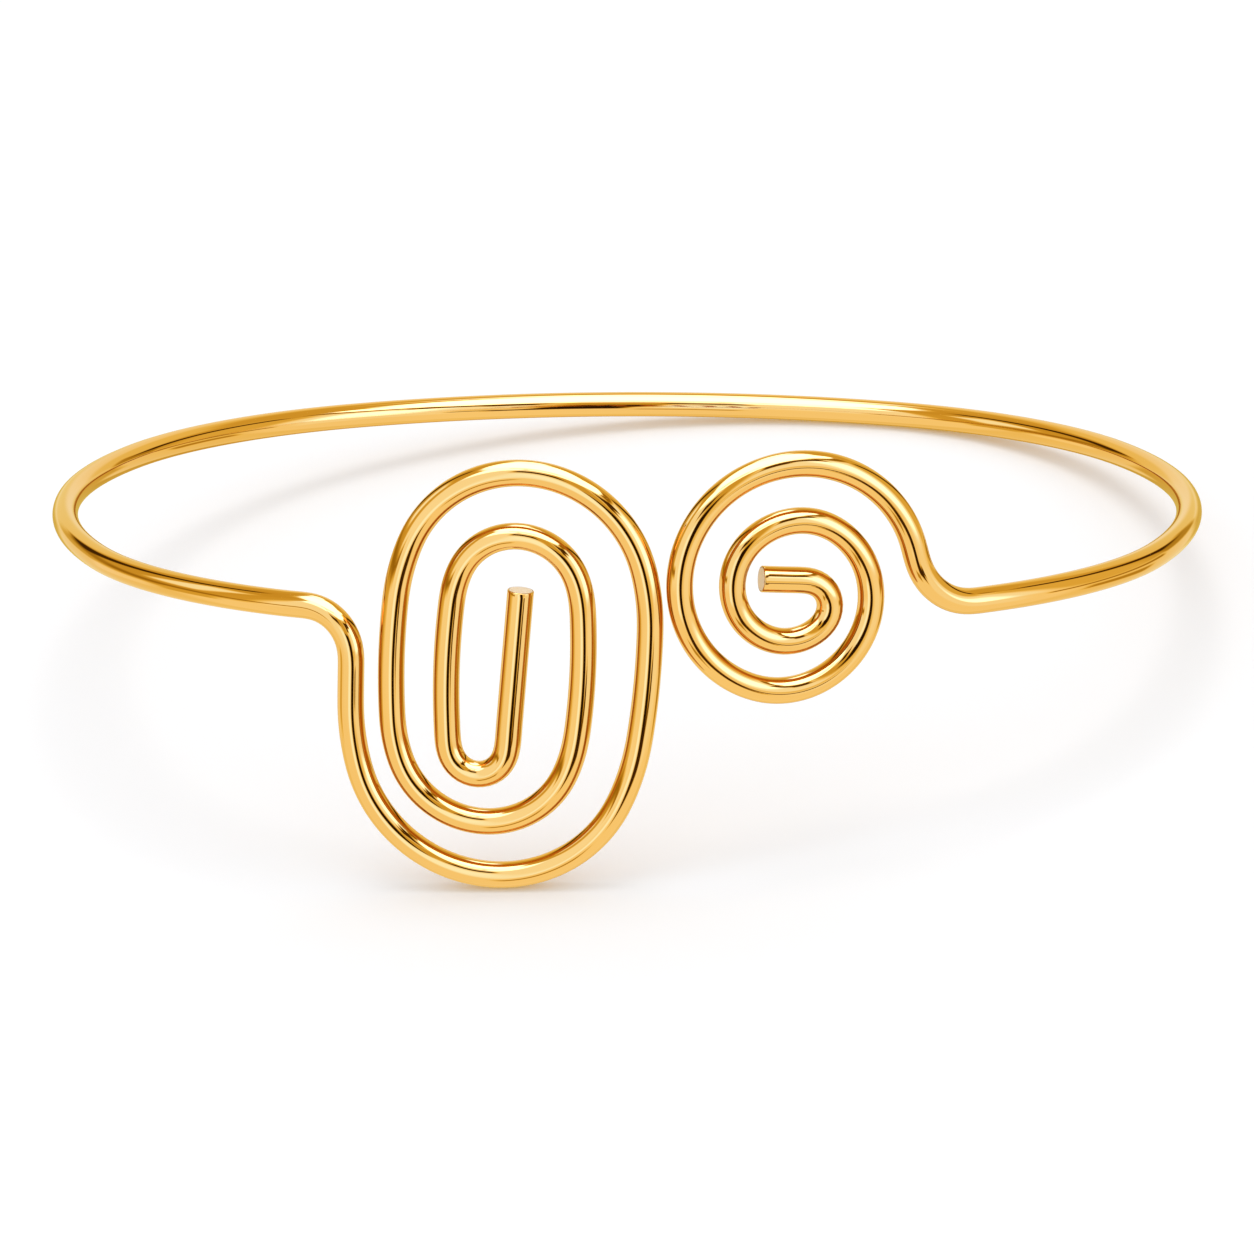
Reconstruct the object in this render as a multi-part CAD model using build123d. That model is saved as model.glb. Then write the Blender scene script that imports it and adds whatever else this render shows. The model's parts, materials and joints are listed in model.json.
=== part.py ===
from build123d import *
from collections import namedtuple
import math
import os

# An open bangle for the upper arm, bent from one length of round wire.
# Its left end turns down into an oblong coil and its right end turns up into a round one.
# Lengths are in millimetres, and names that end in _deg hold degrees.
# The wire is bent in the hoop's own frame: X to the right, Y from front to back, Z square to the hoop.
# It is then laid down as it rests: on its foot, the lowest bend of the oblong coil, and on the hoop's back.

# Driving sizes of the wire and the hoop.
# arm_width is the clear width for the arm, and turn_gap is the air between turns that are one step apart.
# The coils' sides come within coil_gap of each other, left to right, coils_meet to the right of the middle.
wire_diameter = 2.0
arm_width = 86.0
turn_gap = 2.1
coil_gap = 0.2
coils_meet = 2.8
coil_lean_deg = 3.5

# Driving sizes of the oblong coil: its lead is the straight run down from the corner where it leaves the
# hoop, slanted outwards, and its core gap is the air inside its last bend.
oblong_yaw_deg = -10.5
oblong_corner_inside = 2.6
oblong_lead = 3.3
oblong_slant_deg = 1.7
oblong_side = 8.7
oblong_core_gap = 2.4

# Driving sizes of the round coil: its lead rises from the corner, slanted inwards, and its tail is the
# straight run to the cut end.
round_yaw_deg = 15.0
round_corner_inside = 4.2
round_lead = 0.8
round_slant_deg = 15.0
round_core_gap = 2.2
round_tail = 3.5

# The hoop from the middle of the back to the front, the same on both sides.
# Each radius is a share of the hoop's half width.
# Its front arc has no turn of its own here, because it goes on until the coil is in its place.
HoopArc = namedtuple("HoopArc", "stretch radius_share turn_deg")
hoop_arcs = [
    HoopArc("back", 1.25, 23.5),
    HoopArc("shoulder", 0.78, 41.5),
    HoopArc("side", 1.10, 21.0),
    HoopArc("flank", 1.30, 24.0),
]
hoop_front_share = 0.74

# The oblong coil from its lead inwards: a bend, and the long side that follows it.
# A bend's radius is so many steps more than the core's, and a side's length is a share of oblong_side.
OblongBend = namedtuple("OblongBend", "place steps turn_deg side_share side_turn_deg")
oblong_bends = [
    OblongBend("outer foot", 2.06, 171.5, 1.00, 8.0),
    OblongBend("outer crown", 1.75, 175.0, 1.04, 9.0),
    OblongBend("inner foot", 1.12, 169.5, 1.10, 10.5),
    OblongBend("inner crown", 0.63, 170.0, 1.27, 11.0),
    OblongBend("core", 0.00, 171.5, 1.39, 0.0),
]
ease_turn_share = 0.09
ease_radius_factor = 1.8

# The round coil from its lead inwards, with radii in the same steps.
RoundArc = namedtuple("RoundArc", "place steps turn_deg")
round_arcs = [
    RoundArc("outer crown", 1.80, 100.0),
    RoundArc("outer side", 1.63, 135.0),
    RoundArc("outer foot", 1.15, 123.0),
    RoundArc("inner side", 1.05, 43.0),
    RoundArc("inner crown", 0.78, 73.0),
    RoundArc("second side", 0.61, 124.0),
    RoundArc("second foot", 0.42, 60.0),
    RoundArc("hook", 0.00, 132.0),
]

# Sizes that follow from the driving ones
wire_radius = wire_diameter / 2
hoop_half_width = (arm_width + wire_diameter) / 2
step = wire_diameter + turn_gap
oblong_core_radius = (wire_diameter + oblong_core_gap) / 2
round_core_radius = (wire_diameter + round_core_gap) / 2

LEFT = -1
RIGHT = 1
UP = Vector(0, 0, 1)
SAMPLE_DEG = 2.0
SAMPLE_RUN = 1.0
Sample = namedtuple("Sample", "x y z length")


class BentWire:
    """A wire's centreline as it is bent: each run and each arc goes on from where the last one ends."""

    def __init__(self, point, heading):
        self.point = point
        self.heading = heading.normalized()
        self.edges = []
        self.samples = []

    def sample(self, place, length, pieces):
        """Keep evenly spaced points of the newest stretch, each with its share of the length."""
        for piece in range(pieces):
            point = place((piece + 0.5) / pieces)
            self.samples.append(Sample(point.X, point.Y, point.Z, length / pieces))

    def run(self, length):
        start, heading = self.point, self.heading

        def place(share):
            return start + heading * length * share

        self.edges.append(Edge.make_line(start, place(1)))
        self.sample(place, length, math.ceil(length / SAMPLE_RUN))
        self.point = place(1)

    def bend(self, radius, turn_deg, normal):
        """Turn about the normal: anticlockwise, seen from its tip, where turn_deg is above zero."""
        start, heading = self.point, self.heading
        turn = math.radians(abs(turn_deg))
        inward = normal.cross(heading).normalized() * math.copysign(1, turn_deg)

        def place(share):
            angle = turn * share
            return start + inward * radius * (1 - math.cos(angle)) + heading * radius * math.sin(angle)

        self.edges.append(Edge.make_three_point_arc(start, place(0.5), place(1)))
        self.sample(place, radius * turn, math.ceil(abs(turn_deg) / SAMPLE_DEG))
        self.point = place(1)
        self.heading = (heading * math.cos(turn) + inward * math.sin(turn)).normalized()

    def eased_bend(self, radius, turn_deg, normal):
        """A bend that starts and ends a little wider than it is at its middle."""
        ease_deg = turn_deg * ease_turn_share
        self.bend(radius * ease_radius_factor, ease_deg, normal)
        self.bend(radius, turn_deg - 2 * ease_deg, normal)
        self.bend(radius * ease_radius_factor, ease_deg, normal)

    def turn_to(self, direction, radius):
        """One bend, in whichever plane it takes, that ends in the given direction."""
        self.bend(radius, self.heading.get_angle(direction), self.heading.cross(direction).normalized())


def bend_hoop(side, share_length, front_turn_deg):
    """Half of the hoop, from the middle of the back to one front end."""
    wire = BentWire(Vector(0, 0, 0), Vector(side, 0, 0))
    for arc in hoop_arcs:
        wire.bend(arc.radius_share * share_length, -side * arc.turn_deg, UP)
    wire.bend(hoop_front_share * share_length, -side * front_turn_deg, UP)
    return wire


def coil_plane(yaw_deg):
    """The flat plane of a coil: its X runs to the right, and its normal points out of the front."""
    yaw, lean = math.radians(yaw_deg), math.radians(coil_lean_deg)
    across = Vector(math.cos(yaw), math.sin(yaw), 0)
    outward = Vector(math.sin(yaw), -math.cos(yaw), 0)
    upward = UP * math.cos(lean) + outward * math.sin(lean)
    return Plane(origin=(0, 0, 0), x_dir=across, z_dir=across.cross(upward))


def in_plane(plane, angle_deg):
    """A direction in the plane, by its angle from the plane's X."""
    angle = math.radians(angle_deg)
    return plane.x_dir * math.cos(angle) + plane.y_dir * math.sin(angle)


def bend_oblong_coil(wire):
    plane = coil_plane(oblong_yaw_deg)
    wire.turn_to(in_plane(plane, -90 - oblong_slant_deg), oblong_corner_inside + wire_radius)
    wire.run(oblong_lead)
    for row in oblong_bends:
        wire.eased_bend(oblong_core_radius + row.steps * step, row.turn_deg, plane.z_dir)
        side_length = row.side_share * oblong_side
        if row.side_turn_deg:
            wire.bend(side_length / math.radians(row.side_turn_deg), row.side_turn_deg, plane.z_dir)
        else:
            wire.run(side_length)


def bend_round_coil(wire):
    plane = coil_plane(round_yaw_deg)
    wire.turn_to(in_plane(plane, 90 + round_slant_deg), round_corner_inside + wire_radius)
    wire.run(round_lead)
    for row in round_arcs:
        wire.bend(round_core_radius + row.steps * step, row.turn_deg, plane.z_dir)
    wire.run(round_tail)


# A hoop bent from the shares alone is a little wider than 1, so the shares are taken of this length.
share_length = hoop_half_width / max(sample.x for sample in bend_hoop(RIGHT, 1.0, 45.0).samples)


def bend_side(side, front_turn_deg):
    """One whole side of the wire, and how far its coil reaches across the middle towards the other coil."""
    wire = bend_hoop(side, share_length, front_turn_deg)
    hoop_samples = len(wire.samples)
    if side == LEFT:
        bend_oblong_coil(wire)
    else:
        bend_round_coil(wire)
    reach = max(-side * sample.x for sample in wire.samples[hoop_samples:])
    return wire, reach


def place_side(side):
    """The side whose front arc brings its coil to half of coil_gap from where the coils meet."""
    wanted = -side * coils_meet - wire_radius - coil_gap / 2
    low_deg, high_deg = 0.0, 90.0
    while high_deg - low_deg > 0.001:
        middle_deg = (low_deg + high_deg) / 2
        wire, reach = bend_side(side, middle_deg)
        if reach < wanted:
            low_deg = middle_deg
        else:
            high_deg = middle_deg
    return wire, middle_deg


left_side, left_front_deg = place_side(LEFT)
right_side, right_front_deg = place_side(RIGHT)
samples = left_side.samples + right_side.samples
wire_length = sum(sample.length for sample in samples)


def weight_height(tilt_deg, roll_deg):
    """How high the middle of the wire's weight stands above a floor that the tilted wire touches."""
    tilt, roll = math.radians(tilt_deg), math.radians(roll_deg)
    up_x, up_y, up_z = -math.sin(roll), math.sin(tilt) * math.cos(roll), math.cos(tilt) * math.cos(roll)
    heights = [sample.x * up_x + sample.y * up_y + sample.z * up_z for sample in samples]
    weight = sum(height * sample.length for height, sample in zip(heights, samples)) / wire_length
    return weight - min(heights)


def lowest(measure, low, high):
    """The value between low and high at which a measure with one hollow is lowest."""
    while high - low > 0.002:
        third = (high - low) / 3
        if measure(low + third) < measure(high - third):
            high -= third
        else:
            low += third
    return (low + high) / 2


def rest_tilt(roll_deg):
    return lowest(lambda tilt_deg: weight_height(tilt_deg, roll_deg), -30.0, 0.0)


# A loose body lies still where its weight stands lowest.
rest_roll_deg = lowest(lambda roll_deg: weight_height(rest_tilt(roll_deg), roll_deg), -10.0, 10.0)
rest_tilt_deg = rest_tilt(rest_roll_deg)


def make_wire():
    """The whole wire in the hoop's frame: a round section taken along the centreline in one sweep."""
    path = Wire(left_side.edges + right_side.edges)
    section = Plane(origin=left_side.point, z_dir=left_side.heading) * Circle(wire_radius)
    return sweep(section, path=path)


def lay_down(wire):
    """Tilt the wire to its rest, with its lowest place on Z = 0 and the middle of its box at X = Y = 0."""
    rested = wire.rotate(Axis.X, rest_tilt_deg).rotate(Axis.Y, rest_roll_deg)
    box = rested.bounding_box()
    return rested.moved(Location((-box.center().X, -box.center().Y, -box.min.Z)))


bangle_wire = lay_down(make_wire())

os.makedirs("parts", exist_ok=True)
export_step(bangle_wire, "parts/bangle_wire.step")

swept_volume = math.pi * wire_radius**2 * wire_length
print("wire length", round(wire_length, 2))
print("volume over section times length", bangle_wire.volume / swept_volume)
print("front arcs in degrees", round(left_front_deg, 2), round(right_front_deg, 2))
print("rest tilt and roll in degrees", round(rest_tilt_deg, 2), round(rest_roll_deg, 2))
print("box", bangle_wire.bounding_box())
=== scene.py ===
import json
import math
from collections import namedtuple

import bmesh
import bpy
import numpy as np
from bpy.props import FloatProperty, FloatVectorProperty, PointerProperty
from mathutils import Matrix, Quaternion, Vector


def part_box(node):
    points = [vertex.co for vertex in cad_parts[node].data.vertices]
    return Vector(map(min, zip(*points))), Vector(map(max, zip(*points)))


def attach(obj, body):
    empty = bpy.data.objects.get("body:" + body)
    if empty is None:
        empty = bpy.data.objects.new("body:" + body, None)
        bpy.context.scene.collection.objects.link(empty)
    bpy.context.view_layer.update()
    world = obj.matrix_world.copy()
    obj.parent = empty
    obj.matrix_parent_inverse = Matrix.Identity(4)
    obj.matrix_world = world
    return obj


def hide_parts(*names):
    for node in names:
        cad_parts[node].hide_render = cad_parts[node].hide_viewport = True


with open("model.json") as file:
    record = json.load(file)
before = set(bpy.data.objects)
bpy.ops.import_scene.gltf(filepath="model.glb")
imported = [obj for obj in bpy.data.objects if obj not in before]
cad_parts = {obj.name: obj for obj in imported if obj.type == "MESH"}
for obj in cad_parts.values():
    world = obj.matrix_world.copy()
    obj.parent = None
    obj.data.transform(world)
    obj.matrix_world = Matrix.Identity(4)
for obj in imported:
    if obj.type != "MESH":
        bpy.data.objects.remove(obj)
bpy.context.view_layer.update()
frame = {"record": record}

# An open bangle for the upper arm, bent from one length of round wire and plated in gold.
# Its left end turns down into an oblong coil and its right end turns up into a round one.
# Lengths are in metres, angles in radians, and names that end in _deg hold degrees.

bl_info = {
    "name": "Coiled upper arm bangle",
    "version": (1, 0, 0),
    "blender": (4, 5, 0),
    "location": "View3D > Sidebar > Bangle",
    "description": "Bends the gold wire of an open bangle with two coils, and sets it in a white studio",
    "category": "Add Mesh",
}

LEFT = -1
RIGHT = 1
UP = Vector((0, 0, 1))


def length(name, description, default):
    return FloatProperty(
        name=name,
        description=description,
        default=default,
        min=0.0,
        precision=5,
        subtype="DISTANCE",
        unit="LENGTH",
    )


def angle(name, description, default_deg):
    return FloatProperty(
        name=name,
        description=description,
        default=math.radians(default_deg),
        subtype="ANGLE",
        unit="ROTATION",
    )


def share(name, description, default):
    return FloatProperty(
        name=name,
        description=description,
        default=default,
        min=0.0,
        max=1.0,
        subtype="FACTOR",
    )


def amount(name, description, default):
    return FloatProperty(name=name, description=description, default=default, min=0.0)


def colour(name, description, default):
    return FloatVectorProperty(
        name=name,
        description=description,
        default=default,
        size=3,
        min=0.0,
        max=1.0,
        subtype="COLOR",
    )


class BangleWireSizes(bpy.types.PropertyGroup):
    """The driving sizes of the bent wire."""

    wire_diameter: length("Wire diameter", "Thickness of the round wire", 0.002)
    arm_width: length("Arm width", "Clear width inside the hoop", 0.086)
    turn_gap: length("Turn gap", "Air between turns that are one step apart", 0.0021)
    coil_gap: length("Coil gap", "Air between the two coils where they come closest", 0.0002)
    coils_meet: length("Coils meet", "How far to the right of the middle the coils come closest", 0.0028)
    coil_lean: angle("Coil lean", "How far the coils' tops lean out of the front", 3.5)
    oblong_yaw: angle("Oblong yaw", "Turn of the oblong coil's face about the hoop's axis", -10.5)
    oblong_corner_inside: length("Oblong corner", "Inner radius of the corner down to that coil", 0.0026)
    oblong_lead: length("Oblong lead", "Straight run from that corner to the first bend", 0.0033)
    oblong_slant: angle("Oblong slant", "How far the lead slants outwards", 1.7)
    oblong_side: length("Oblong side", "Length that the oblong's long sides are shares of", 0.0087)
    oblong_core_gap: length("Oblong core gap", "Air inside the oblong's last bend", 0.0024)
    round_yaw: angle("Round yaw", "Turn of the round coil's face about the hoop's axis", 15.0)
    round_corner_inside: length("Round corner", "Inner radius of the corner up to that coil", 0.0042)
    round_lead: length("Round lead", "Straight run from that corner to the first bend", 0.0008)
    round_slant: angle("Round slant", "How far the lead slants inwards", 15.0)
    round_core_gap: length("Round core gap", "Air inside the round coil's hook", 0.0022)
    round_tail: length("Round tail", "Straight run to the round coil's cut end", 0.0035)
    ring_spacing: length("Ring spacing", "Distance from one ring of the mesh to the next", 0.00036)
    ease_reach: length("Ease reach", "How far along the wire each change of bend is spread", 0.0006)
    cut_edge: length("Cut edge", "Width of the rubbed edge round each cut end", 0.00008)


class BangleGoldFinish(bpy.types.PropertyGroup):
    """The plating and the bare cut ends."""

    plate_colour: colour("Plate colour", "Colour of the polished gold plate", (0.93, 0.56, 0.175))
    cut_colour: colour("Cut colour", "Colour of the satin metal at the cut ends", (0.96, 0.82, 0.65))
    # This dark colour is painted shade round the edge of each cut face.
    rim_shade_colour: colour("Rim colour", "Colour of the dark line round each cut end", (0.22, 0.11, 0.04))
    polish: share("Polish roughness", "Roughness of the polished plate", 0.045)
    wipe_roughness: share("Wipe roughness", "How much duller the plate is where it was wiped", 0.03)
    line_depth: length("Line depth", "Depth of the fine lines along the drawn wire", 0.0000012)
    wave_share: amount("Wave share", "Height of the slight waves as a share of the lines' depth", 2.5)
    cut_roughness: share("Cut roughness", "Roughness of the cut ends", 0.45)
    cut_metallic: share("Cut metalness", "Share of the cut ends that mirrors, and doesn't scatter", 0.45)
    cut_depth: length("Cut depth", "Depth of the grain on the cut ends", 0.000004)


class BangleStudio(bpy.types.PropertyGroup):
    """The floor, the lights and the camera."""

    floor_colour: colour("Floor colour", "Colour of the paper floor", (0.85, 0.85, 0.85))
    light_colour: colour("Light colour", "Colour of the white light from all round", (0.971, 0.980, 1.0))
    light_strength: amount("Light strength", "Radiance of the white light from all round", 1.071)
    floor_radius: length("Floor radius", "How far the floor reaches", 6.0)
    dome_radius: length("Dome radius", "Distance of the lamps and walls that the gold mirrors", 0.28)
    dome_height: length("Dome height", "Height of the dome's middle above the floor", 0.02)
    key_strength: amount("Key strength", "Irradiance of the lamp above, in watts per square metre", 0.58)
    key_spread: angle("Key spread", "How broad the lamp above looks from the floor", 32.0)
    key_forward: angle("Key forward", "How far the lamp above stands towards the camera", 6.0)
    camera_turn: angle("Camera turn", "How far the camera stands to the right of straight in front", 2.23)
    camera_height: angle("Camera height", "How far the camera looks down", 24.351)
    camera_roll: angle("Camera roll", "How far the camera's right side dips", 5.555)
    camera_distance: length("Camera distance", "From the camera to the point that it looks at", 0.9163)
    camera_target: FloatVectorProperty(
        name="Camera target",
        description="The point that the camera looks at",
        default=(-0.00077, -0.0026, 0.0026),
        size=3,
        subtype="TRANSLATION",
        unit="LENGTH",
    )
    camera_lens: FloatProperty(
        name="Camera lens",
        description="Focal length in millimetres, on a square sensor as wide as CAMERA_SENSOR_MM",
        default=335.526,
        min=1.0,
        subtype="DISTANCE_CAMERA",
        unit="CAMERA",
    )


# The hoop from the middle of the back to the front, the same on both sides.
# Each radius is a share of the hoop's half width.
# Its front arc has no turn of its own here, because it goes on until the coil is in its place.
HoopArc = namedtuple("HoopArc", "stretch radius_share turn_deg")
HOOP_ARCS = [
    HoopArc("back", 1.25, 23.5),
    HoopArc("shoulder", 0.78, 41.5),
    HoopArc("side", 1.10, 21.0),
    HoopArc("flank", 1.30, 24.0),
]
HOOP_FRONT_SHARE = 0.74

# The oblong coil from its lead inwards: a bend, and the long side that follows it.
# A bend's radius is so many steps more than the core's, and a side's length is a share of oblong_side.
OblongBend = namedtuple("OblongBend", "place steps turn_deg side_share side_turn_deg")
OBLONG_BENDS = [
    OblongBend("outer foot", 2.06, 171.5, 1.00, 8.0),
    OblongBend("outer crown", 1.75, 175.0, 1.04, 9.0),
    OblongBend("inner foot", 1.12, 169.5, 1.10, 10.5),
    OblongBend("inner crown", 0.63, 170.0, 1.27, 11.0),
    OblongBend("core", 0.00, 171.5, 1.39, 0.0),
]
EASE_TURN_SHARE = 0.09
EASE_RADIUS_FACTOR = 1.8

# The round coil from its lead inwards, with radii in the same steps.
RoundArc = namedtuple("RoundArc", "place steps turn_deg")
ROUND_ARCS = [
    RoundArc("outer crown", 1.80, 100.0),
    RoundArc("outer side", 1.63, 135.0),
    RoundArc("outer foot", 1.15, 123.0),
    RoundArc("inner side", 1.05, 43.0),
    RoundArc("inner crown", 0.78, 73.0),
    RoundArc("second side", 0.61, 124.0),
    RoundArc("second foot", 0.42, 60.0),
    RoundArc("hook", 0.00, 132.0),
]


class WireBender:
    """Bends a wire in the hoop's frame: X to the right, Y from front to back, Z square to the hoop.

    Each straight run and each arc goes on from where the last one ends.
    """

    def __init__(self, side, spacing):
        self.point = Vector((0, 0, 0))
        self.heading = Vector((side, 0, 0))
        self.spacing = spacing
        self.points = [self.point]

    def run(self, run_length):
        start = self.point
        pieces = math.ceil(run_length / self.spacing)
        for piece in range(1, pieces + 1):
            self.points.append(start + self.heading * run_length * piece / pieces)
        self.point = self.points[-1]

    def bend(self, radius, turn, normal):
        """Turn about the normal: anticlockwise, seen from its tip, where the turn is above zero."""
        start, heading = self.point, self.heading
        inward = normal.cross(heading).normalized() * math.copysign(1, turn)
        pieces = math.ceil(radius * abs(turn) / self.spacing)
        for piece in range(1, pieces + 1):
            turned = abs(turn) * piece / pieces
            sideways = inward * radius * (1 - math.cos(turned))
            onwards = heading * radius * math.sin(turned)
            self.points.append(start + sideways + onwards)
        self.point = self.points[-1]
        self.heading = (heading * math.cos(turn) + inward * math.sin(abs(turn))).normalized()

    def eased_bend(self, radius, turn, normal):
        """A bend that starts and ends a little wider than it is at its middle."""
        ease = turn * EASE_TURN_SHARE
        self.bend(radius * EASE_RADIUS_FACTOR, ease, normal)
        self.bend(radius, turn - 2 * ease, normal)
        self.bend(radius * EASE_RADIUS_FACTOR, ease, normal)

    def turn_to(self, direction, radius):
        """One bend, in whichever plane it takes, that ends in the given direction."""
        self.bend(radius, self.heading.angle(direction), self.heading.cross(direction).normalized())


class CoilPlane:
    """The flat plane of a coil: across runs to the right, and the normal points out of the front."""

    def __init__(self, yaw, lean):
        self.across = Vector((math.cos(yaw), math.sin(yaw), 0))
        outward = Vector((math.sin(yaw), -math.cos(yaw), 0))
        upward = UP * math.cos(lean) + outward * math.sin(lean)
        self.normal = self.across.cross(upward)
        self.upward = self.normal.cross(self.across)

    def direction(self, turned):
        return self.across * math.cos(turned) + self.upward * math.sin(turned)


def bend_hoop(side, share_length, front_turn, spacing):
    """Half of the hoop, from the middle of the back to one front end."""
    wire = WireBender(side, spacing)
    for arc in HOOP_ARCS:
        wire.bend(arc.radius_share * share_length, -side * math.radians(arc.turn_deg), UP)
    wire.bend(HOOP_FRONT_SHARE * share_length, -side * front_turn, UP)
    return wire


def bend_oblong_coil(wire, sizes):
    plane = CoilPlane(sizes.oblong_yaw, sizes.coil_lean)
    wire_radius = sizes.wire_diameter / 2
    core_radius = wire_radius + sizes.oblong_core_gap / 2
    down = math.radians(-90) - sizes.oblong_slant
    wire.turn_to(plane.direction(down), sizes.oblong_corner_inside + wire_radius)
    wire.run(sizes.oblong_lead)
    for row in OBLONG_BENDS:
        radius = core_radius + row.steps * (sizes.wire_diameter + sizes.turn_gap)
        wire.eased_bend(radius, math.radians(row.turn_deg), plane.normal)
        side_length = row.side_share * sizes.oblong_side
        side_turn = math.radians(row.side_turn_deg)
        if side_turn:
            wire.bend(side_length / side_turn, side_turn, plane.normal)
        else:
            wire.run(side_length)


def bend_round_coil(wire, sizes):
    plane = CoilPlane(sizes.round_yaw, sizes.coil_lean)
    wire_radius = sizes.wire_diameter / 2
    core_radius = wire_radius + sizes.round_core_gap / 2
    up = math.radians(90) + sizes.round_slant
    wire.turn_to(plane.direction(up), sizes.round_corner_inside + wire_radius)
    wire.run(sizes.round_lead)
    for row in ROUND_ARCS:
        radius = core_radius + row.steps * (sizes.wire_diameter + sizes.turn_gap)
        wire.bend(radius, math.radians(row.turn_deg), plane.normal)
    wire.run(sizes.round_tail)


MOST_FRONT_TURN = math.radians(90)
FINEST_FRONT_TURN = 1e-5


def bend_side(side, share_length, sizes):
    """One side of the wire, whose front arc brings its coil to half of coil_gap from where the coils meet."""
    bend_coil = bend_oblong_coil if side == LEFT else bend_round_coil
    wanted = -side * sizes.coils_meet - sizes.wire_diameter / 2 - sizes.coil_gap / 2
    low, high = 0.0, MOST_FRONT_TURN
    while high - low > FINEST_FRONT_TURN:
        front_turn = (low + high) / 2
        wire = bend_hoop(side, share_length, front_turn, sizes.ring_spacing)
        hoop_points = len(wire.points)
        bend_coil(wire, sizes)
        reach = max(-side * point.x for point in wire.points[hoop_points:])
        if reach < wanted:
            low = front_turn
        else:
            high = front_turn
    return wire.points


def smoothed(points, reach):
    """The points with each change of bend spread along the wire, and with no bend drawn in by it."""
    tail = 3 * reach
    weights = np.exp([-((step / reach) ** 2) / 2 for step in range(-tail, tail + 1)])
    weights /= weights.sum()

    def blurred(line):
        before = 2 * line[0] - line[tail:0:-1]
        after = 2 * line[-1] - line[-2 : -tail - 2 : -1]
        padded = np.vstack([before, line, after])
        return np.column_stack([np.convolve(column, weights, "valid") for column in padded.T])

    once = blurred(points)
    return 2 * once - blurred(once)


def evenly_spaced(points, spacing):
    steps = np.linalg.norm(np.diff(points, axis=0), axis=1)
    along = np.concatenate([[0.0], np.cumsum(steps)])
    places = np.linspace(0.0, along[-1], round(along[-1] / spacing) + 1)
    return np.column_stack([np.interp(places, along, column) for column in points.T]), places


# A hoop bent from the shares alone, far enough round to pass its widest place.
SHARES_FRONT_TURN = math.radians(45)
SHARES_SPACING = 0.01


def bend_centreline(sizes):
    """The wire's centreline from the oblong's cut end to the round coil's, in the hoop's frame."""
    shares = bend_hoop(RIGHT, 1.0, SHARES_FRONT_TURN, SHARES_SPACING)
    half_width = (sizes.arm_width + sizes.wire_diameter) / 2
    share_length = half_width / max(point.x for point in shares.points)
    left = bend_side(LEFT, share_length, sizes)
    right = bend_side(RIGHT, share_length, sizes)
    corners = np.array(left[:0:-1] + right, float)
    points, _ = evenly_spaced(corners, sizes.ring_spacing)
    reach = max(1, round(sizes.ease_reach / sizes.ring_spacing))
    return evenly_spaced(smoothed(points, reach), sizes.ring_spacing)


def rest_turn():
    """The turn from the hoop's frame to how the bangle lies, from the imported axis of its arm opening."""
    axis = next(mount["axis"] for mount in frame["record"]["mounts"] if mount["name"] == "arm_opening")
    tilt = -math.asin(axis[1])
    roll = math.atan2(axis[0], axis[2])
    return np.array(Matrix.Rotation(roll, 3, "Y") @ Matrix.Rotation(tilt, 3, "X"), float)


def carried_frames(points):
    """The heading at each point, and two directions square to it that never turn about the wire."""
    headings = np.gradient(points, axis=0)
    headings /= np.linalg.norm(headings, axis=1)[:, None]
    across = np.zeros_like(points)
    side = np.cross(headings[0], (0.0, 0.0, 1.0))
    for index, heading in enumerate(headings):
        side = side - heading * (side @ heading)
        side /= np.linalg.norm(side)
        across[index] = side
    return headings, across, np.cross(headings, across)


RING_SIDES = 48
RUBBED_STEPS = 3
PLATE_SLOT = 0
CUT_SLOT = 1


class WireMesh:
    """The vertices and faces of a swept wire, with each vertex's place on the wire before it was bent."""

    def __init__(self):
        self.vertices = []
        self.straight = []
        self.faces = []
        self.slots = []

    def add_ring(self, centre, across, upright, ring_radius, along):
        """One ring, anticlockwise about the wire's heading, as the numbers of its vertices."""
        first = len(self.vertices)
        for side in range(RING_SIDES):
            turned = 2 * math.pi * side / RING_SIDES
            x, y = ring_radius * math.cos(turned), ring_radius * math.sin(turned)
            self.vertices.append(centre + across * x + upright * y)
            self.straight.append((x, y, along))
        return list(range(first, first + RING_SIDES))

    def join_rings(self, first, second):
        """A band of quads that face outwards, from one ring to the next along the wire."""
        for side in range(RING_SIDES):
            after = (side + 1) % RING_SIDES
            self.faces.append((first[side], first[after], second[after], second[side]))
            self.slots.append(PLATE_SLOT)

    def close_end(self, ring):
        self.faces.append(tuple(ring))
        self.slots.append(CUT_SLOT)


def rubbed_edge(radius, edge):
    """Each ring of a cut end's rounded edge: its radius, and how far it is set back from the cut face."""
    rows = []
    for step in range(RUBBED_STEPS + 1):
        turned = math.pi / 2 * step / RUBBED_STEPS
        rows.append((radius - edge * (1 - math.cos(turned)), edge * (1 - math.sin(turned))))
    return rows


def sweep_wire(points, places, sizes):
    """A closed mesh of the wire, with a rubbed edge and a flat cut face at each end."""
    radius = sizes.wire_diameter / 2
    headings, across, upright = carried_frames(points)
    mesh = WireMesh()
    last = len(points) - 1
    rings = []
    for ring_radius, back in reversed(rubbed_edge(radius, sizes.cut_edge)):
        centre = points[0] + headings[0] * back
        rings.append(mesh.add_ring(centre, across[0], upright[0], ring_radius, back))
    for index in range(1, last):
        rings.append(mesh.add_ring(points[index], across[index], upright[index], radius, places[index]))
    for ring_radius, back in rubbed_edge(radius, sizes.cut_edge):
        centre = points[last] - headings[last] * back
        rings.append(mesh.add_ring(centre, across[last], upright[last], ring_radius, places[last] - back))
    for first, second in zip(rings, rings[1:]):
        mesh.join_rings(first, second)
    mesh.close_end(rings[0][::-1])
    mesh.close_end(rings[-1])
    return mesh


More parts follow.
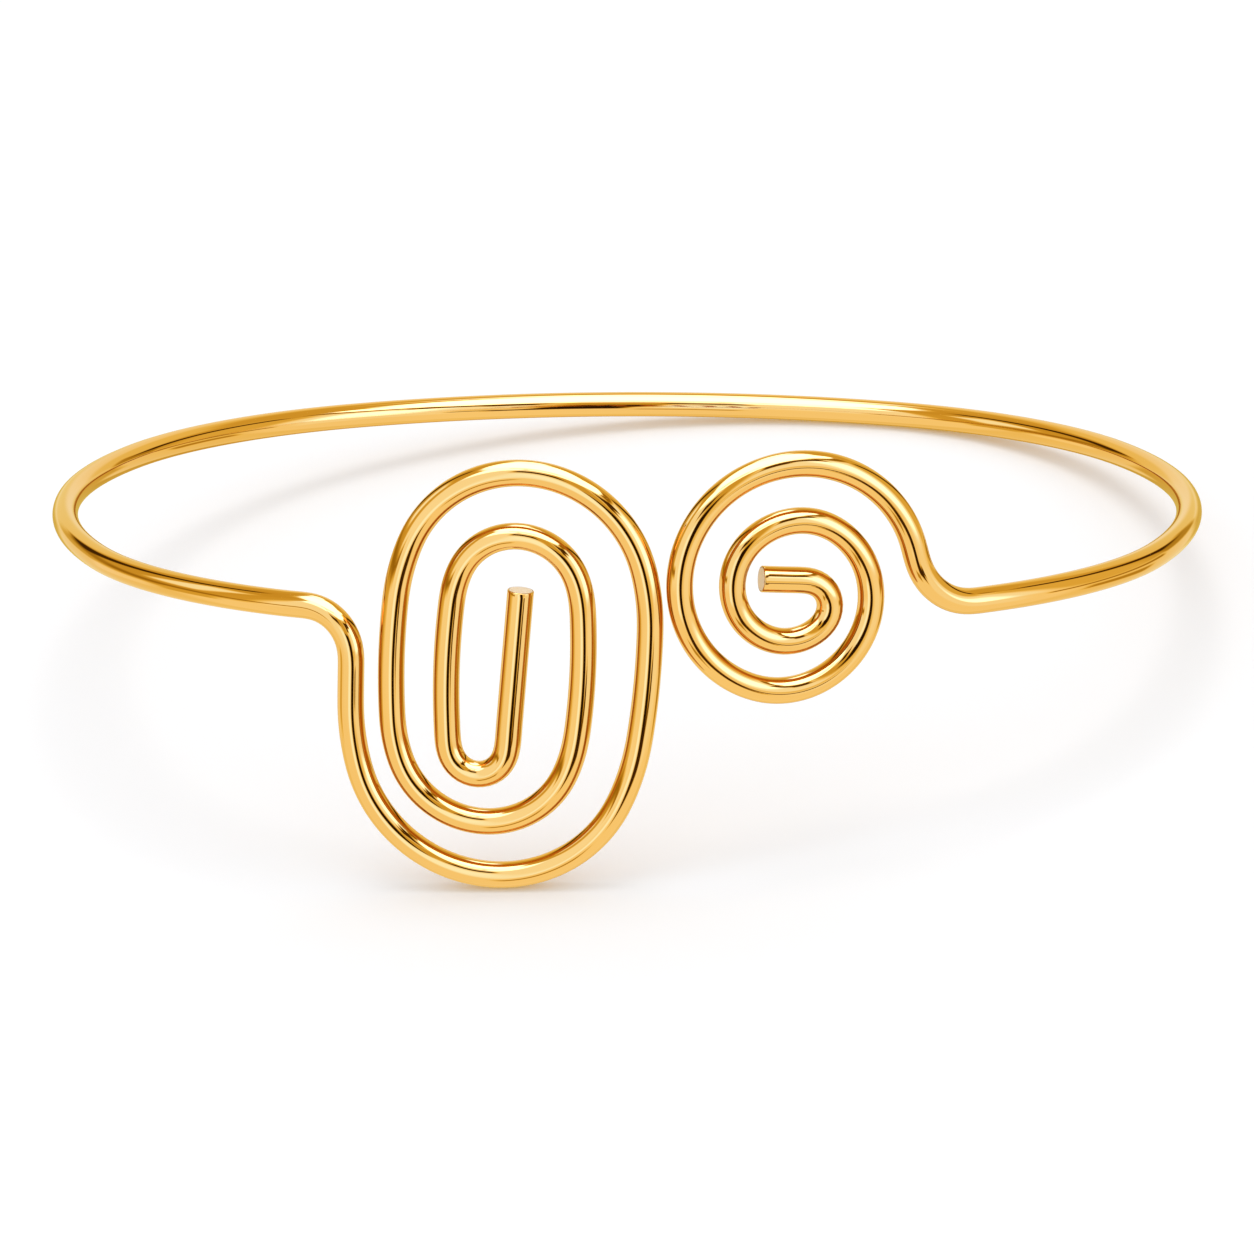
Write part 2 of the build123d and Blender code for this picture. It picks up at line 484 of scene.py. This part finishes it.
def make_mesh(name, wire, materials):
    mesh = bpy.data.meshes.new(name)
    mesh.from_pydata(wire.vertices, [], wire.faces)
    for material in materials:
        mesh.materials.append(material)
    mesh.polygons.foreach_set("material_index", wire.slots)
    mesh.polygons.foreach_set("use_smooth", [slot == PLATE_SLOT for slot in wire.slots])
    attribute = mesh.attributes.new("straight_wire", "FLOAT_VECTOR", "POINT")
    attribute.data.foreach_set("vector", np.array(wire.straight, float).ravel())
    mesh.update()
    return mesh


class Value:
    """A number that varies over a shader. Python's operators on it add Math nodes."""

    def __init__(self, shader, socket):
        self.shader = shader
        self.socket = socket

    def maths(self, operation, *values):
        node = self.shader.add("ShaderNodeMath", {"operation": operation}, dict(enumerate(values)))
        return Value(self.shader, node.outputs[0])

    def __add__(self, other):
        return self.maths("ADD", self, other)

    __radd__ = __add__

    def __sub__(self, other):
        return self.maths("SUBTRACT", self, other)

    def __rsub__(self, other):
        return self.maths("SUBTRACT", other, self)

    def __mul__(self, other):
        return self.maths("MULTIPLY", self, other)

    __rmul__ = __mul__

    def __abs__(self):
        return self.maths("ABSOLUTE", self)


class Shader:
    """The node tree of a material or world, emptied, with one method that adds any node."""

    def __init__(self, owner):
        owner.use_nodes = True
        self.tree = owner.node_tree
        self.tree.nodes.clear()

    def add(self, kind, settings=None, sockets=None):
        """A node of this type: its settings first, then a value or a link for each named socket."""
        node = self.tree.nodes.new(kind)
        for name, setting in (settings or {}).items():
            if name == "stops":
                self.set_stops(node.color_ramp, setting)
            else:
                setattr(node, name, setting)
        for name, value in (sockets or {}).items():
            socket = node.inputs[name]
            if isinstance(value, Value):
                self.tree.links.new(value.socket, socket)
            elif isinstance(value, bpy.types.NodeSocket):
                self.tree.links.new(value, socket)
            else:
                socket.default_value = value
        return node

    def set_stops(self, ramp, stops):
        while len(ramp.elements) < len(stops):
            ramp.elements.new(1.0)
        for element, (position, stop_colour) in zip(ramp.elements, stops):
            element.position = position
            element.color = (*stop_colour, 1.0)

    def value(self, socket):
        return Value(self, socket)

    def smooth_step(self, value, start, end):
        """0 at start, 1 at end, and a smooth rise between."""
        node = self.add(
            "ShaderNodeMapRange",
            {"interpolation_type": "SMOOTHSTEP"},
            {"Value": value, "From Min": start, "From Max": end, "To Min": 0.0, "To Max": 1.0},
        )
        return Value(self, node.outputs["Result"])


# Noise on the wire as it was before bending. A scale is how many patches go into a metre.
WireNoise = namedtuple("WireNoise", "across_scale along_scale detail")
TINT_DRIFT = WireNoise(260.0, 60.0, 2.0)
WIPE_MARKS = WireNoise(2600.0, 420.0, 3.0)
DRAWING_LINES = WireNoise(2400.0, 25.0, 3.0)
SLIGHT_WAVES = WireNoise(500.0, 420.0, 1.0)
CUT_GRAIN = WireNoise(9000.0, 1500.0, 3.0)

# Noise below the first number counts as none, and above the second as all.
DRIFT_RANGE = (0.3, 0.7)
WIPE_RANGE = (0.5, 0.8)
GRAIN_RANGE = (0.35, 0.65)

# How dark the plate and the cut metal get, as shares of their colours, and how much duller the grain is.
DRIFT_DARKEST = 0.97
GRAIN_DARKEST = 0.93
GRAIN_ROUGHNESS = 0.08

# Where the painted shade round the edge of a cut face starts and where it is full, as shares of the wire's
# radius.
RIM_SHADE_START = 0.84
RIM_SHADE_FULL = 0.92


def straight_place(shader, scales):
    """The place on the wire as it was before bending, times a scale for each of its directions."""
    straight = shader.add("ShaderNodeAttribute", {"attribute_name": "straight_wire"}).outputs["Vector"]
    return shader.add("ShaderNodeVectorMath", {"operation": "MULTIPLY"}, {0: straight, 1: scales}).outputs[0]


def straight_noise(shader, noise):
    stretched = straight_place(shader, (noise.across_scale, noise.across_scale, noise.along_scale))
    sockets = {"Vector": stretched, "Scale": 1.0, "Detail": noise.detail}
    return shader.value(shader.add("ShaderNodeTexNoise", None, sockets).outputs["Fac"])


def two_tone(shader, factor, tone, darker):
    """A colour that goes from a darker share of itself to its full tone."""
    sockets = {"Factor": factor, "A": (*[channel * darker for channel in tone], 1.0), "B": (*tone, 1.0)}
    return shader.add("ShaderNodeMix", {"data_type": "RGBA"}, sockets).outputs["Result"]


def metal_surface(shader, colour_link, metallic, roughness, height, depth):
    bump = shader.add("ShaderNodeBump", None, {"Strength": 1.0, "Distance": depth, "Height": height})
    sockets = {
        "Base Color": colour_link,
        "Metallic": metallic,
        "Roughness": roughness,
        "Normal": bump.outputs["Normal"],
    }
    surface = shader.add("ShaderNodeBsdfPrincipled", None, sockets)
    shader.add("ShaderNodeOutputMaterial", None, {"Surface": surface.outputs["BSDF"]})


def gold_plate(finish):
    """Mirror-bright gold plate on drawn wire: fine lines along it, slight waves, soft wipe marks."""
    material = bpy.data.materials.new("polished_gold_plate")
    shader = Shader(material)
    drift = shader.smooth_step(straight_noise(shader, TINT_DRIFT), *DRIFT_RANGE)
    wipes = shader.smooth_step(straight_noise(shader, WIPE_MARKS), *WIPE_RANGE)
    tint = two_tone(shader, drift, finish.plate_colour, DRIFT_DARKEST)
    roughness = finish.polish + finish.wipe_roughness * wipes
    height = straight_noise(shader, DRAWING_LINES) + straight_noise(shader, SLIGHT_WAVES) * finish.wave_share
    metal_surface(shader, tint, 1.0, roughness, height, finish.line_depth)
    return material


def cut_metal(finish, wire_radius):
    """The satin face that the cutters leave at each end of the wire, with painted shade in a dark line round
    its edge.
    """
    material = bpy.data.materials.new("satin_cut_metal")
    shader = Shader(material)
    grain = straight_noise(shader, CUT_GRAIN)
    tint = two_tone(shader, shader.smooth_step(grain, *GRAIN_RANGE), finish.cut_colour, GRAIN_DARKEST)
    section = straight_place(shader, (1.0, 1.0, 0.0))
    from_middle = shader.add("ShaderNodeVectorMath", {"operation": "LENGTH"}, {0: section}).outputs["Value"]
    # Painted shade: the cut face darkens towards its edge.
    rim_shade = shader.smooth_step(from_middle, RIM_SHADE_START * wire_radius, RIM_SHADE_FULL * wire_radius)
    sockets = {"Factor": rim_shade, "A": tint, "B": (*finish.rim_shade_colour, 1.0)}
    rim_shaded = shader.add("ShaderNodeMix", {"data_type": "RGBA"}, sockets).outputs["Result"]
    roughness = finish.cut_roughness + GRAIN_ROUGHNESS * grain
    metal_surface(shader, rim_shaded, finish.cut_metallic, roughness, grain, finish.cut_depth)
    return material


# The bent wire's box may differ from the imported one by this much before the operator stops.
MOST_MISFIT = 0.0002


class BANGLE_OT_bend_wire(bpy.types.Operator):
    """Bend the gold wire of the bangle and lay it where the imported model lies"""

    bl_idname = "bangle.bend_wire"
    bl_label = "Bend the wire"

    def execute(self, context):
        sizes = context.scene.bangle_sizes
        finish = context.scene.bangle_finish
        points, places = bend_centreline(sizes)
        points = points @ rest_turn().T
        wire_mesh = sweep_wire(points, places, sizes)
        vertices = np.array(wire_mesh.vertices)
        low, high = (np.array(corner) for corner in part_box("bangle_wire"))
        wire_low, wire_high = vertices.min(axis=0), vertices.max(axis=0)
        misfit = np.abs((wire_high - wire_low) - (high - low)).max()
        if misfit > MOST_MISFIT:
            raise RuntimeError(f"the bent wire's box is {misfit} m off the packed one")
        wire_mesh.vertices = vertices + (low + high) / 2 - (wire_low + wire_high) / 2
        materials = [gold_plate(finish), cut_metal(finish, sizes.wire_diameter / 2)]
        mesh = make_mesh("gold_bangle_wire", wire_mesh, materials)
        wire = bpy.data.objects.new("gold_bangle_wire", mesh)
        context.scene.collection.objects.link(wire)
        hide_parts("bangle_wire")
        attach(wire, "root")
        return {"FINISHED"}


# What the gold mirrors: a dome of paper walls, lamps and dark gaps about the bangle, painted in this order.
# Azimuth is 0 to the front and grows to the right, and elevation is above the middle of the dome.
# A window's lean takes its top to the right, or to the left where the lean is below zero.
# A half width of ALL_ROUND goes past the back, where the azimuth turns over.
# A level is a brightness: 1 is the floor's white, above it are the lamps, and 0 is black.
StudioWindow = namedtuple(
    "StudioWindow", "name azimuth_deg elevation_deg half_width_deg half_height_deg lean_deg soft_deg level"
)
ALL_ROUND = 200
STUDIO_WINDOWS = [
    StudioWindow("overhead lamp", 0, 90, ALL_ROUND, 29, 0, 8, 4.0),
    StudioWindow("overhead lamp's front end", 0, 54, 18, 7, 0, 8, 2.6),
    StudioWindow("overhead lamp's left end", -40, 50, 20, 14, 0, 8, 3.0),
    StudioWindow("overhead lamp's right end", 60, 56, 42, 8, 0, 6, 3.5),
    StudioWindow("left wall", -112, 32, 35, 30, 0, 14, 0.45),
    StudioWindow("left wall's lit middle", -95, 30, 12, 13, 0, 8, 1.25),
    StudioWindow("left front lamp", -34, 15, 28, 30, 0, 10, 1.15),
    StudioWindow("right front lamp", 54, 17, 36, 28, 0, 10, 1.2),
    StudioWindow("right front lamp's middle", 53, 14, 13, 20, 0, 12, 2.4),
    StudioWindow("gap over the left front lamp", -12, 56, 20, 1.2, 0, 2.4, 0.5),
    StudioWindow("right wall", 100, 14, 20, 24, 0, 12, 0.62),
    StudioWindow("right rear wall", 158, 8, 24, 22, 0, 10, 0.75),
    StudioWindow("left rear wall", -165, 8, 18, 22, 0, 10, 0.78),
    StudioWindow("rear wall's middle", 178, 0, 12, 20, 0, 10, 0.9),
    StudioWindow("overhead lamp's rear end", 178, 61.5, 14, 14, 0, 16, 3.0),
    StudioWindow("left table edge", -108, 4, 36, 5, 0, 6, 0.25),
    StudioWindow("floor at the sides", 0, -49, ALL_ROUND, 41, 0, 4, 0.85),
    StudioWindow("floor at the front", 0, -50, 85, 47, 0, 14, 0.99),
    StudioWindow("floor at the back", 180, -36, 15, 20, 0, 8, 0.45),
    StudioWindow("rear table edge", 180, -21, 33, 8, 0, 8, 0.5),
    StudioWindow("lit floor at the right", 48, -17, 20, 10, 0, 10, 1.1),
    StudioWindow("lit floor at the left", -110, -14, 14, 8, 0, 8, 0.98),
    StudioWindow("left front lamp's bright edge", -13.5, 3, 7.5, 17, 0, 6, 1.45),
    StudioWindow("shade beside the camera", 24, -2, 7, 5, 0, 6, 0.8),
    StudioWindow("front table edge", -13, -29, 9, 4, 0, 3, 0.35),
    StudioWindow("right table edge", 102, -13.5, 26, 3, 0, 4, 0.25),
    StudioWindow("right rear table edge", 140, -5, 10, 6, 0, 5, 0.3),
    StudioWindow("gap under the left front lamp", -81, 4, 38, 2.5, 0, 5, 0.2),
    StudioWindow("left rear stand", -130, 28, 6.5, 26, 25, 5, 0.02),
    StudioWindow("right rear stand", 121, 18, 6, 20, -42, 5, 0.02),
    StudioWindow("left side stand", -82, -7, 9, 8, 0, 6, 0.55),
    StudioWindow("right side stand", 106, -29, 15, 6, 0, 6, 0.32),
    StudioWindow("gap over the right front lamp", 37, 38, 16, 5, 0, 4, 0.02),
    StudioWindow("gap over the right wall", 76, 46, 25, 4, 0, 4, 0.2),
    StudioWindow("camera gap", 6.2, -1, 8.8, 21, -9, 3, 0.002),
    StudioWindow("camera gap's top left", -13, 33, 9, 5.5, 0, 4, 0.02),
    StudioWindow("camera gap's top right", 28, 33, 6, 6, 30, 4, 0.04),
    StudioWindow("camera's foot", 11, -18, 12, 5, 0, 4, 0.02),
    StudioWindow("camera's foot's right end", 26, -14, 4.5, 2.5, 0, 2.5, 0.02),
]
STUDIO_BASE_LEVEL = 0.5
BRIGHTEST_LEVEL = 4.0

# Gold mirrored in gold is a deeper orange than the plate alone makes it.
# The glossy depth is 1 in a reflection and 2 in a reflection of a reflection, so the limit is between them.
SECOND_MIRROR = (0.60, 0.43, 0.22, 1.0)
SECOND_MIRROR_DEPTH = 1.5

# The colour at each level: amber in the dark parts and slightly blue in the lamps, which gold turns cream.
StudioTone = namedtuple("StudioTone", "level red green blue")
STUDIO_TONES = [
    StudioTone(0.00, 0.004, 0.0015, 0.0005),
    StudioTone(0.03, 0.066, 0.030, 0.003),
    StudioTone(0.10, 0.175, 0.095, 0.008),
    StudioTone(0.20, 0.345, 0.205, 0.014),
    StudioTone(0.40, 0.590, 0.401, 0.060),
    StudioTone(0.57, 0.745, 0.565, 0.140),
    StudioTone(0.77, 0.890, 0.772, 0.330),
    StudioTone(1.00, 1.02, 1.0, 0.86),
    StudioTone(1.44, 1.08, 1.437, 2.2),
    StudioTone(2.00, 1.8, 2.1, 3.4),
    StudioTone(4.00, 3.6, 4.0, 5.2),
]


def soft_edge(shader, distance, half_size, soft):
    """1 inside, 0 outside, and a smooth fall between."""
    return shader.smooth_step(distance, half_size + soft / 2, half_size - soft / 2)


def painted_studio():
    """The dome's material: each window painted over those before it, and its level turned into a colour."""
    material = bpy.data.materials.new("studio_dome")
    shader = Shader(material)
    place = shader.add("ShaderNodeTexCoord").outputs["Object"]
    direction = shader.add("ShaderNodeVectorMath", {"operation": "NORMALIZE"}, {0: place}).outputs["Vector"]
    parts = shader.add("ShaderNodeSeparateXYZ", None, {0: direction}).outputs
    x, y, z = (shader.value(parts[name]) for name in "XYZ")
    azimuth = x.maths("ARCTAN2", x, y * -1.0) * math.degrees(1)
    elevation = z.maths("ARCSINE", z) * math.degrees(1)

    def window_mask(window):
        across = azimuth.maths("WRAP", azimuth - window.azimuth_deg, 180.0, -180.0)
        above = elevation - window.elevation_deg
        if window.lean_deg:
            across = across - above * math.tan(math.radians(window.lean_deg))
        mask = soft_edge(shader, abs(across), window.half_width_deg, window.soft_deg)
        return mask * soft_edge(shader, abs(above), window.half_height_deg, window.soft_deg)

    level = STUDIO_BASE_LEVEL
    for window in STUDIO_WINDOWS:
        mask = window_mask(window)
        level = level * (1 - mask) + mask * window.level

    # A square root leaves more of the ramp to the dark levels
    place_on_ramp = level.maths("SQRT", level * (1 / BRIGHTEST_LEVEL))
    stops = []
    for tone in STUDIO_TONES:
        stops.append((math.sqrt(tone.level / BRIGHTEST_LEVEL), (tone.red, tone.green, tone.blue)))
    ramp = shader.add("ShaderNodeValToRGB", {"stops": stops}, {"Fac": place_on_ramp})
    mirrored = shader.value(shader.add("ShaderNodeLightPath").outputs["Glossy Depth"])
    twice = mirrored.maths("GREATER_THAN", mirrored, SECOND_MIRROR_DEPTH)
    settings = {"data_type": "RGBA", "blend_type": "MULTIPLY"}
    sockets = {"Factor": twice, "A": ramp.outputs["Color"], "B": SECOND_MIRROR}
    seen = shader.add("ShaderNodeMix", settings, sockets).outputs["Result"]
    glow = shader.add("ShaderNodeEmission", None, {"Color": seen, "Strength": 1.0})
    shader.add("ShaderNodeOutputMaterial", None, {"Surface": glow.outputs[0]})
    material.cycles.emission_sampling = "NONE"
    return material


def white_world(studio):
    world = bpy.data.worlds.new("white_studio")
    shader = Shader(world)
    sockets = {"Color": (*studio.light_colour, 1.0), "Strength": studio.light_strength}
    background = shader.add("ShaderNodeBackground", None, sockets)
    shader.add("ShaderNodeOutputWorld", None, {"Surface": background.outputs[0]})
    return world


def white_paper(studio):
    material = bpy.data.materials.new("white_paper")
    shader = Shader(material)
    sockets = {"Color": (*studio.floor_colour, 1.0), "Roughness": 0.0}
    surface = shader.add("ShaderNodeBsdfDiffuse", None, sockets)
    shader.add("ShaderNodeOutputMaterial", None, {"Surface": surface.outputs[0]})
    return material


FLOOR_CORNERS = 96
DOME_SUBDIVISIONS = 4
CAMERA_SENSOR_MM = 36.0
CAMERA_CLIP_START = 0.01
CAMERA_CLIP_END = 50.0


class BANGLE_OT_set_stage(bpy.types.Operator):
    """Set the paper floor, the studio's light and the camera"""

    bl_idname = "bangle.set_stage"
    bl_label = "Set the stage"

    def execute(self, context):
        scene = context.scene
        studio = scene.bangle_studio
        scene.world = white_world(studio)
        scene.view_settings.view_transform = "Standard"
        self.lay_floor(scene, studio)
        self.hang_dome(scene, studio)
        self.hang_key_lamp(scene, studio)
        self.place_camera(scene, studio)
        return {"FINISHED"}

    def lay_floor(self, scene, studio):
        edge = []
        for corner in range(FLOOR_CORNERS):
            turned = 2 * math.pi * corner / FLOOR_CORNERS
            edge.append((studio.floor_radius * math.cos(turned), studio.floor_radius * math.sin(turned), 0.0))
        mesh = bpy.data.meshes.new("paper_floor")
        mesh.from_pydata(edge, [], [tuple(range(FLOOR_CORNERS))])
        mesh.materials.append(white_paper(studio))
        floor = bpy.data.objects.new("paper_floor", mesh)
        floor.visible_glossy = False
        scene.collection.objects.link(floor)

    def hang_dome(self, scene, studio):
        """Only the gold's reflections see the dome: not the camera, the floor or the shadows."""
        mesh = bpy.data.meshes.new("studio_dome")
        ball = bmesh.new()
        bmesh.ops.create_icosphere(ball, subdivisions=DOME_SUBDIVISIONS, radius=studio.dome_radius)
        ball.to_mesh(mesh)
        ball.free()
        mesh.materials.append(painted_studio())
        dome = bpy.data.objects.new("studio_dome", mesh)
        dome.location = (0.0, 0.0, studio.dome_height)
        dome.visible_camera = False
        dome.visible_diffuse = False
        dome.visible_shadow = False
        scene.collection.objects.link(dome)

    def hang_key_lamp(self, scene, studio):
        """A broad soft light from above, for the shadows on the paper alone."""
        data = bpy.data.lights.new("key_lamp", "SUN")
        data.energy = studio.key_strength
        data.angle = studio.key_spread
        lamp = bpy.data.objects.new("key_lamp", data)
        lamp.rotation_euler = (-studio.key_forward, 0.0, 0.0)
        lamp.visible_camera = False
        lamp.visible_glossy = False
        scene.collection.objects.link(lamp)

    def place_camera(self, scene, studio):
        data = bpy.data.cameras.new("camera")
        data.sensor_width = CAMERA_SENSOR_MM
        data.lens = studio.camera_lens
        data.clip_start, data.clip_end = CAMERA_CLIP_START, CAMERA_CLIP_END
        camera = bpy.data.objects.new("camera", data)
        turn, height = studio.camera_turn, studio.camera_height
        level = math.cos(height)
        back = Vector((math.sin(turn) * level, -math.cos(turn) * level, math.sin(height)))
        camera.location = Vector(studio.camera_target) + back * studio.camera_distance
        camera.rotation_mode = "QUATERNION"
        aim = (-back).to_track_quat("-Z", "Y")
        camera.rotation_quaternion = aim @ Quaternion((0, 0, 1), -studio.camera_roll)
        scene.collection.objects.link(camera)
        scene.camera = camera


class BANGLE_PT_sidebar(bpy.types.Panel):
    """The bangle's pieces and its stage, in the 3D view's sidebar"""

    bl_idname = "BANGLE_PT_sidebar"
    bl_label = "Coiled upper arm bangle"
    bl_space_type = "VIEW_3D"
    bl_region_type = "UI"
    bl_category = "Bangle"

    def draw(self, context):
        scene = context.scene
        for group in (scene.bangle_sizes, scene.bangle_finish, scene.bangle_studio):
            box = self.layout.box()
            for name in group.__annotations__:
                box.prop(group, name)
        self.layout.operator(BANGLE_OT_bend_wire.bl_idname)
        self.layout.operator(BANGLE_OT_set_stage.bl_idname)


CLASSES = [
    BangleWireSizes,
    BangleGoldFinish,
    BangleStudio,
    BANGLE_OT_bend_wire,
    BANGLE_OT_set_stage,
    BANGLE_PT_sidebar,
]


def register():
    for registered in CLASSES:
        bpy.utils.register_class(registered)
    bpy.types.Scene.bangle_sizes = PointerProperty(type=BangleWireSizes)
    bpy.types.Scene.bangle_finish = PointerProperty(type=BangleGoldFinish)
    bpy.types.Scene.bangle_studio = PointerProperty(type=BangleStudio)


def unregister():
    del bpy.types.Scene.bangle_studio
    del bpy.types.Scene.bangle_finish
    del bpy.types.Scene.bangle_sizes
    for registered in reversed(CLASSES):
        bpy.utils.unregister_class(registered)


def main():
    register()
    bpy.ops.bangle.bend_wire()
    bpy.ops.bangle.set_stage()


if __name__ == "__main__":
    main()
